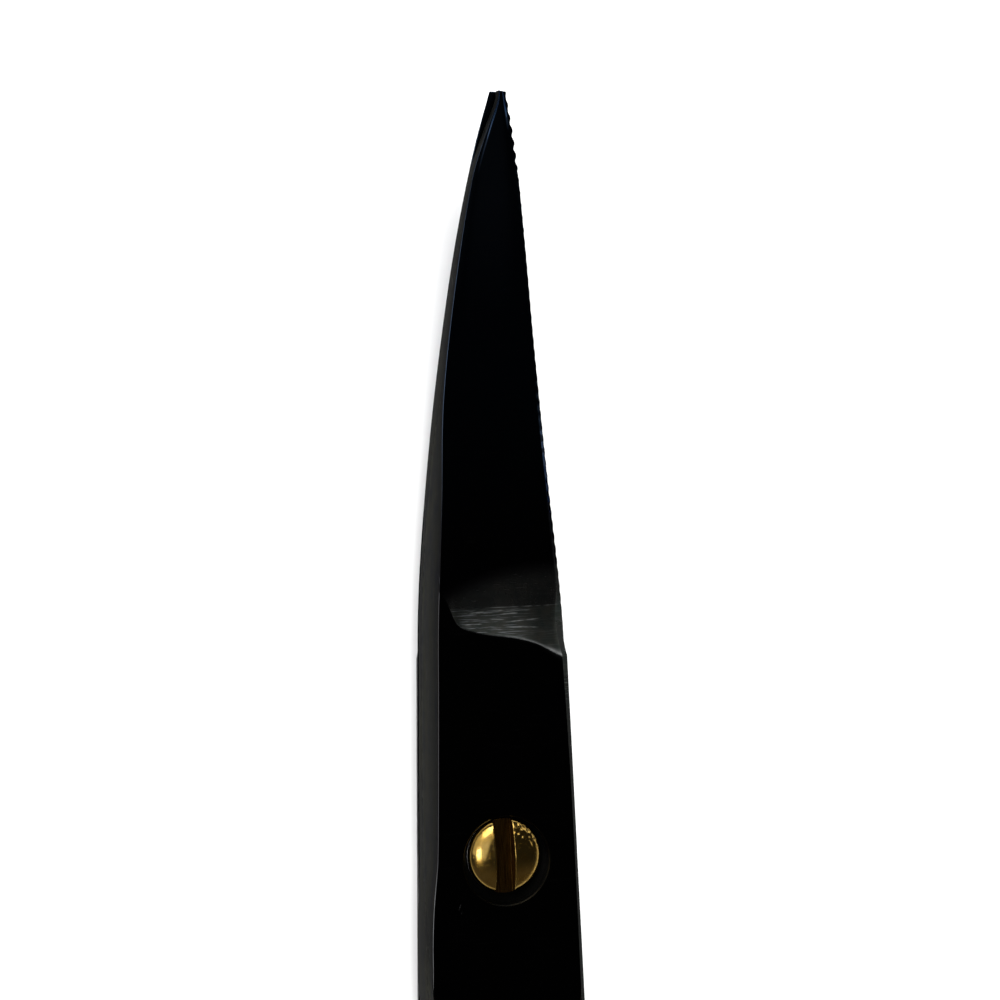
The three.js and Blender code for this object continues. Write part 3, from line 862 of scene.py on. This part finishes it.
finger_half = build_half("finger")
thumb_half = build_half("thumb")
pocket_floor = MEETING_Z - MEETING_GAP / 2 - SLIP_POCKET["depth"]
pocket_roof = MEETING_Z + MEETING_GAP / 2 + SLIP_POCKET["depth"]
face_z = MEETING_Z + MEETING_GAP / 2 + FACE_H
rim = 0.09  # chamfer round the counterbore
bore_radius = COUNTERBORE["radius"]
cut(thumb_half, [
    (0, -1), (SLIP_POCKET["radius"], -1), (SLIP_POCKET["radius"], pocket_roof), (BORE, pocket_roof),
    (BORE, 6), (0, 6),
])
cut(
    thumb_half,
    [(0, COUNTERBORE["floor"]), (bore_radius, COUNTERBORE["floor"]), (bore_radius, face_z - rim),
     (bore_radius + 2 * rim, face_z + rim), (bore_radius + 2 * rim, 8), (0, 8)],
    at(*COUNTERBORE["centre"]),
)
cut(finger_half, [
    (0, -1), (NUT_SEAT["flange"], -1), (NUT_SEAT["flange"], NUT_SEAT["flange_top"]),
    (NUT_SEAT["barrel"], NUT_SEAT["flange_top"]), (NUT_SEAT["barrel"], pocket_floor),
    (SLIP_POCKET["radius"], pocket_floor), (SLIP_POCKET["radius"], 6), (0, 6),
])
bumper_hole = [(0, 0), (1.3, 0), (1.3, HANDLE_GAP + 2.6), (0, HANDLE_GAP + 2.6)]
cut(finger_half, bumper_hole, aimed((-1, 0, 0), (0, BUMPER_Y, MEETING_Z)))

# ---- the finger rest, and its boss on the ring ----
finger_centre = ring_centre("finger")
out = Vector((-math.cos(REST_ANGLE), math.sin(REST_ANGLE), 0))
reach = RING_RADIUS + RING_HALF[0]
rest_root = Vector((
    -finger_centre[0] + out.x * reach,
    finger_centre[1] + out.y * reach * HALVES["finger"]["stretch"],
    MEETING_Z,
))
BOSS = {"rise": 0.85, "flat": 1.5, "foot": 3.4}


def raise_boss(obj):
    """Swells the ring outwards round the finger rest's stud."""
    for v in obj.data.vertices:
        away = v.co / MM - rest_root
        height = away.dot(out)
        off_axis = (away - out * height).length
        if height > -2.6 and off_axis < BOSS["foot"]:
            share = 1 - smoothstep(off_axis, BOSS["flat"], BOSS["foot"])
            level = BOSS["rise"] - height if off_axis < BOSS["flat"] else BOSS["rise"]
            v.co += out * float(share * smoothstep(height, -2.6, -0.8) * min(level, 1.4)) * MM


raise_boss(finger_half)
cut(finger_half, [(0, -3), (1.25, -3), (1.25, 2), (0, 2)], aimed(out, rest_root))
for half in (finger_half, thumb_half):
    crisp(half)

REST = {
    "stand_off": 1.2, "stud": 1.0, "stud_length": 3.6, "collar": 2.1, "collar_length": 1.3,
    "rod": 1.6, "ball": 1.9,
}
REST_STEPS = 60  # along the rod
REST_SEGMENTS = 48  # round it


def finger_rest():
    """Stud, collar and rod swept along one line that curves outwards to a ball end."""
    seat = rest_root + out * REST["stand_off"]
    stations = [(seat + out * z, out, r) for r, z in rounded([
        (0, -REST["stud_length"], 0), (REST["stud"], -REST["stud_length"], 0.3), (REST["stud"], 0, 0),
        (REST["collar"], 0, 0.18), (REST["collar"], REST["collar_length"], 0.3),
        (REST["rod"], REST["collar_length"] + 0.35, 0.25), (REST["rod"], REST["collar_length"] + 0.5, 0),
    ])]
    knots = [
        seat + out * 1.8, seat + out * 8, seat + Vector((-8, -9.5, 0)), seat + Vector((-16.5, -6.5, 0)),
    ]
    for k in range(1, REST_STEPS + 1):
        t = k / REST_STEPS
        place = (
            knots[0] * (1 - t) ** 3 + knots[1] * 3 * t * (1 - t) ** 2
            + knots[2] * 3 * t * t * (1 - t) + knots[3] * t**3
        )
        along = (
            (knots[1] - knots[0]) * (1 - t) ** 2 + (knots[2] - knots[1]) * 2 * t * (1 - t)
            + (knots[3] - knots[2]) * t * t
        ).normalized()
        left_over = (knots[3] - place).length
        ball = math.sqrt(max(REST["ball"] ** 2 - left_over**2, 0))
        waist = REST["rod"] * (1 - 0.13 * math.sin(math.pi * t))
        stations.append((place, along, max(waist, ball)))
    place, along, _ = stations[-1]
    for k in range(1, 13):
        turn = k / 12 * math.pi / 2
        end = place + along * REST["ball"] * math.sin(turn)
        stations.append((end, along, REST["ball"] * math.cos(turn)))

    mesh = bmesh.new()
    rings = []
    for place, along, radius in stations:
        if radius < 1e-4:
            rings.append([mesh.verts.new(place * MM)])
            continue
        across = Vector((0, 0, 1)).cross(along)
        turns = [2 * math.pi * i / REST_SEGMENTS for i in range(REST_SEGMENTS)]
        rings.append([
            mesh.verts.new((place + (across * math.cos(t) + Vector((0, 0, math.sin(t)))) * radius) * MM)
            for t in turns
        ])
    for one, two in zip(rings, rings[1:]):
        for i in range(REST_SEGMENTS):
            k = (i + 1) % REST_SEGMENTS
            quad = [one[i % len(one)], one[k % len(one)], two[k % len(two)], two[i % len(two)]]
            mesh.faces.new(list(dict.fromkeys(quad)))
    return new_object("rest", mesh, [HALF_MATERIALS[FACE]])


# ---- the pivot screw ----
HEAD = {
    "radius": 2.95, "base": 4.45, "rim": 4.8, "top": 5.85,
    "slot_x": -0.12, "slot": 0.775, "floor": 4.85,  # "slot" is half its width
}
SHOULDER = {"radius": 1.8, "bottom": 2.35}
THREAD = {"radius": 1.4, "bottom": 0.75, "pitch": 0.35, "depth": 0.16}
SLOT_TURN = math.radians(1.0)
EDGE_ROUND = 0.07
DENT = {"centre": (1.55, 1.45), "reach": 1.65, "depth": 0.075}  # chewed plating beside the slot


def screw_columns():
    """(x, share of the way down to the slot's floor, drop off the dome) for each column of the head."""
    slot = HEAD["slot"]
    inner = 2 / math.pi * math.asin((slot + EDGE_ROUND) / HEAD["radius"])
    half = [
        (HEAD["radius"] * math.sin(math.pi / 2 * (1 + (inner - 1) * k / 40)), 0, 0)
        for k in range(1, 41)
    ]
    for k in (1, 2, 3):
        turn = math.pi / 2 * k / 3
        half.append((slot + EDGE_ROUND * (1 - math.sin(turn)), 0, EDGE_ROUND * (1 - math.cos(turn))))
    half += [(slot - 0.01 - 0.02 * k, (0.3, 0.7, 0.94, 1)[k], EDGE_ROUND) for k in range(4)]
    floor = [(x, 1, 0) for x in np.linspace(slot - 0.12, 0, 9)]
    half += floor
    columns = half + [(-x, share, drop) for x, share, drop in half[-2::-1]]

    def shift(x):
        return HEAD["slot_x"] * (1 - float(smoothstep(abs(x), slot + EDGE_ROUND, HEAD["radius"])))

    return [(x + shift(x), share, drop) for x, share, drop in columns]


def screw_height(x, y, share, drop, dome):
    """Height of the head at x, y: dome, its chewed patch, and the slot with burrs along its edges."""
    top = HEAD["rim"] + dome
    fade = min(dome / 0.4, 1)
    from_slot = x - HEAD["slot_x"]
    if share == 0:
        away = math.hypot(x - DENT["centre"][0], y - DENT["centre"][1]) / DENT["reach"]
        chew = 1 - float(smoothstep(away, 0.45, 1))
        rough = noise.fractal(Vector((x * 3.4, y * 3.4, 3.0)), 0.6, 2.2, 4)
        wave = 0.006 * noise.noise(Vector((x, y, 9.0)) * 1.3)
        top -= fade * (chew * DENT["depth"] * (0.55 + 0.9 * rough) + wave)
        burr = noise.noise(Vector((x * 0.5, y * 2.2, 1.0 if x > 0 else 5.0)))
        top += fade * 0.05 * max(burr, 0) * (1 - float(smoothstep(abs(from_slot) - HEAD["slot"], 0, 0.22)))
    streak = 0.02 * noise.noise(Vector((x * 9, y * 0.7, 2.0)))
    floor = min(HEAD["floor"] + streak - 0.05 * (from_slot / HEAD["slot"]), top)
    return (top - drop * fade) * (1 - share) + floor * share if share else max(top - drop * fade, floor)


def pivot_screw():
    radius = HEAD["radius"]
    rows = 72
    mesh = bmesh.new()
    turned = Matrix.Rotation(SLOT_TURN, 4, "Z")

    def put(x, y, z):
        return mesh.verts.new(turned @ Vector((x, y, z)) * MM)

    columns = screw_columns()
    grid = []
    for x, share, drop in columns:
        reach_y = math.sqrt(max(radius**2 - x**2, 0))
        column = []
        for j in range(rows + 1):
            s = math.pi / 2 * (2 * j / rows - 1)
            dome = (HEAD["top"] - HEAD["rim"]) * reach_y / radius * math.cos(s)
            y = reach_y * math.sin(s)
            column.append(put(x, y, screw_height(x, y, share, drop, dome)))
        grid.append(column)
    ends = (put(radius, 0, HEAD["rim"]), put(-radius, 0, HEAD["rim"]))
    for i, (one, two) in enumerate(zip(grid, grid[1:])):
        # Faces in the slot take the second material, the gold painted dark as shade.
        in_slot = columns[i][1] + columns[i + 1][1] > 0
        for j in range(rows):
            mesh.faces.new((one[j], one[j + 1], two[j + 1], two[j])).material_index = int(in_slot)
    for pole, column in zip(ends, (grid[0], grid[-1])):
        for j in range(rows):
            mesh.faces.new((pole, column[j], column[j + 1]))

    # skirt, shoulder and thread: rings that follow the head's rim
    loop = [ends[0]] + [c[-1] for c in grid] + [ends[1]] + [c[0] for c in grid[::-1]]
    plan = [turned.inverted() @ v.co / MM for v in loop]
    outline = [
        (radius, HEAD["base"] + 0.1), (radius - 0.03, HEAD["base"] + 0.03), (radius - 0.1, HEAD["base"]),
        (SHOULDER["radius"], HEAD["base"]), (SHOULDER["radius"], SHOULDER["bottom"] + 0.1),
        (SHOULDER["radius"] - 0.1, SHOULDER["bottom"]),
    ]
    z = SHOULDER["bottom"]
    while z > THREAD["bottom"] + THREAD["pitch"]:
        outline.append((THREAD["radius"] - THREAD["depth"], z))
        outline.append((THREAD["radius"], z - THREAD["pitch"] / 2))
        z -= THREAD["pitch"]
    outline += [(THREAD["radius"] - THREAD["depth"], z), (THREAD["radius"] - 0.3, THREAD["bottom"])]
    above = loop
    for ring_radius, z in outline:
        ring = [put(p.x / radius * ring_radius, p.y / radius * ring_radius, z) for p in plan]
        for i in range(len(ring)):
            k = (i + 1) % len(ring)
            mesh.faces.new((above[i], above[k], ring[k], ring[i]))
        above = ring
    mesh.faces.new(above)
    return new_object("screw", mesh, [GOLD, SLOT_PAINTED_SHADE])


# ---- nut, washers, bushing, liners and bumper ----
def pivot_nut():
    return lathe("nut", rounded([
        (0, 0, 0), (3.3, 0, 0.22), (3.3, 1.0, 0.12), (2.4, 1.0, 0.05), (2.4, 2.2, 0.15), (1.6, 2.2, 0.12),
        (1.6, 0.5, 0.1), (0, 0.5, 0),
    ]), [GOLD])


def ring_washer(name, box_node, inner, fillet, look):
    """A washer or bushing that fills its CAD node's box."""
    low, high = corner(box_node)
    outer = high[0]
    return lathe(name, rounded([
        (inner, low[2], fillet), (outer, low[2], fillet),
        (outer, high[2], fillet), (inner, high[2], fillet),
    ], closed=True), [look])


LIP_ANGLE = 1.05
LINER_GAP = 0.3


def ring_liner(name):
    """Rubber liner: a groove that sits on the ring, lips over its faces and a bead towards the finger."""
    points = []
    for k in range(17):
        turn = -LIP_ANGLE + 2 * LIP_ANGLE * k / 16
        points.append((
            RING_RADIUS - (RING_HALF[0] + LINER_GAP) * math.cos(turn),
            (RING_HALF[1] + LINER_GAP) * math.sin(turn),
        ))
    bead = [(10.72, 2.6, 0.1), (10.05, 2.6, 0.35), (9.2, 1.75, 0.5), (9.12, 0.62, 0.12), (8.93, 0.4, 0.12)]
    mirrored = [(r, -z, f) for r, z, f in bead[::-1]]
    points += rounded([(*points[-1], 0)] + bead + mirrored + [(*points[0], 0)])[1:-1]
    centre = ring_centre(name)
    half = HALVES[name]
    place = at(half["side"] * centre[0], centre[1], MEETING_Z)
    return lathe(name + "_liner", points, [RUBBER], 160, place, half["stretch"])


def bumper():
    start, end = -HANDLE_GAP + 0.3, HANDLE_GAP - 0.3
    return lathe("silencer", rounded([
        (0, start - 2.2, 0), (1.0, start - 2.2, 0.3), (1.0, start, 0), (1.7, start, 0.15),
        (1.7, end - 0.7, 0.3), (1.36, end - 0.25, 0.3), (0.765, end, 0.4), (0, end, 0),
    ]), [RUBBER], 64, aimed((1, 0, 0), (0, BUMPER_Y, MEETING_Z)))


PIECES = (
    (finger_half, "finger_blade", "finger_half", "black_coated_steel"),
    (thumb_half, "thumb_blade", "thumb_half", "black_coated_steel"),
    (pivot_screw(), "pivot_screw", "tension_screw", "gold_screw"),
    (pivot_nut(), "pivot_nut", "finger_half", "gold_screw"),
    (
        ring_washer("spring", "spring_washer", 2.05, 0.06, SPRING_STEEL),
        "spring_washer", "thumb_half", "spring_steel",
    ),
    (
        ring_washer("bushing", "pivot_bushing", 1.86, 0.08, BRONZE),
        "pivot_bushing", "thumb_half", "bronze",
    ),
    (ring_washer("slip", "slip_washer", 2.1, 0.12, NYLON), "slip_washer", "finger_half", "nylon"),
    (ring_liner("finger"), "finger_ring_insert", "finger_half", "black_rubber"),
    (ring_liner("thumb"), "thumb_ring_insert", "thumb_half", "black_rubber"),
    (bumper(), "bumper", "finger_half", "black_rubber"),
    (finger_rest(), "finger_rest", "finger_half", "black_coated_steel"),
)
for piece, cad_node, body, slot in PIECES:
    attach(piece, body)
    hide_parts(cad_node)

# ---- stage ----
floor_mesh = bmesh.new()
bmesh.ops.create_grid(floor_mesh, x_segments=1, y_segments=1, size=0.8)
bmesh.ops.translate(floor_mesh, verts=floor_mesh.verts, vec=(0, 0, -0.00002))
new_object("floor", floor_mesh, [pale_floor()])


def softbox(name, direction, distance, size, power, glossy=True):
    """A rectangular area light that looks at the shears from a direction."""
    light = bpy.data.lights.new(name, "AREA")
    light.shape = "RECTANGLE"
    light.size, light.size_y = size
    light.energy = power
    obj = bpy.data.objects.new(name, light)
    away = Vector(direction).normalized()
    obj.location = LOOK_AT * MM + away * distance
    obj.rotation_euler = away.to_track_quat("Z", "Y").to_euler()
    obj.visible_glossy = glossy
    bpy.context.scene.collection.objects.link(obj)


softbox("overhead", (0, 0, 1), 0.9, (1.3, 1.3), 22, glossy=False)
softbox("tip_side", (0.15, 0.8, 0.65), 0.6, (0.5, 0.28), 0.6)
softbox("left", (-0.55, 0.2, 0.8), 0.6, (0.45, 0.6), 0.4)
softbox("left_spot", (-0.53, -0.09, 0.85), 0.6, (0.2, 0.15), 0.28)
softbox("upper_left", (-0.23, 0.64, 0.73), 0.6, (0.36, 0.28), 0.9)

# The studio: a bright band beyond the tips at the floor's edge and near dark elsewhere, so the polished
# faces stay black.
world = bpy.data.worlds.new("studio")
world.use_nodes = True
sky = world.node_tree
_, depth, height = node(sky, "SeparateXYZ", {0: node(sky, "TexCoord").outputs["Generated"]}).outputs
band = ramp(sky, height, 0.05, 0.26)
horizon = blended(sky, ramp(sky, depth, 0.3, 0.9), (0.4, 0.4, 0.4, 1), (1.0, 1.0, 1.0, 1))
above = blended(sky, ramp(sky, depth, -0.25, -0.5), (0.012, 0.012, 0.012, 1), (0.05, 0.045, 0.04, 1))
sky.links.new(blended(sky, band, horizon, above), sky.nodes["Background"].inputs["Color"])
bpy.context.scene.world = world
bpy.context.scene.view_settings.view_transform = "Standard"
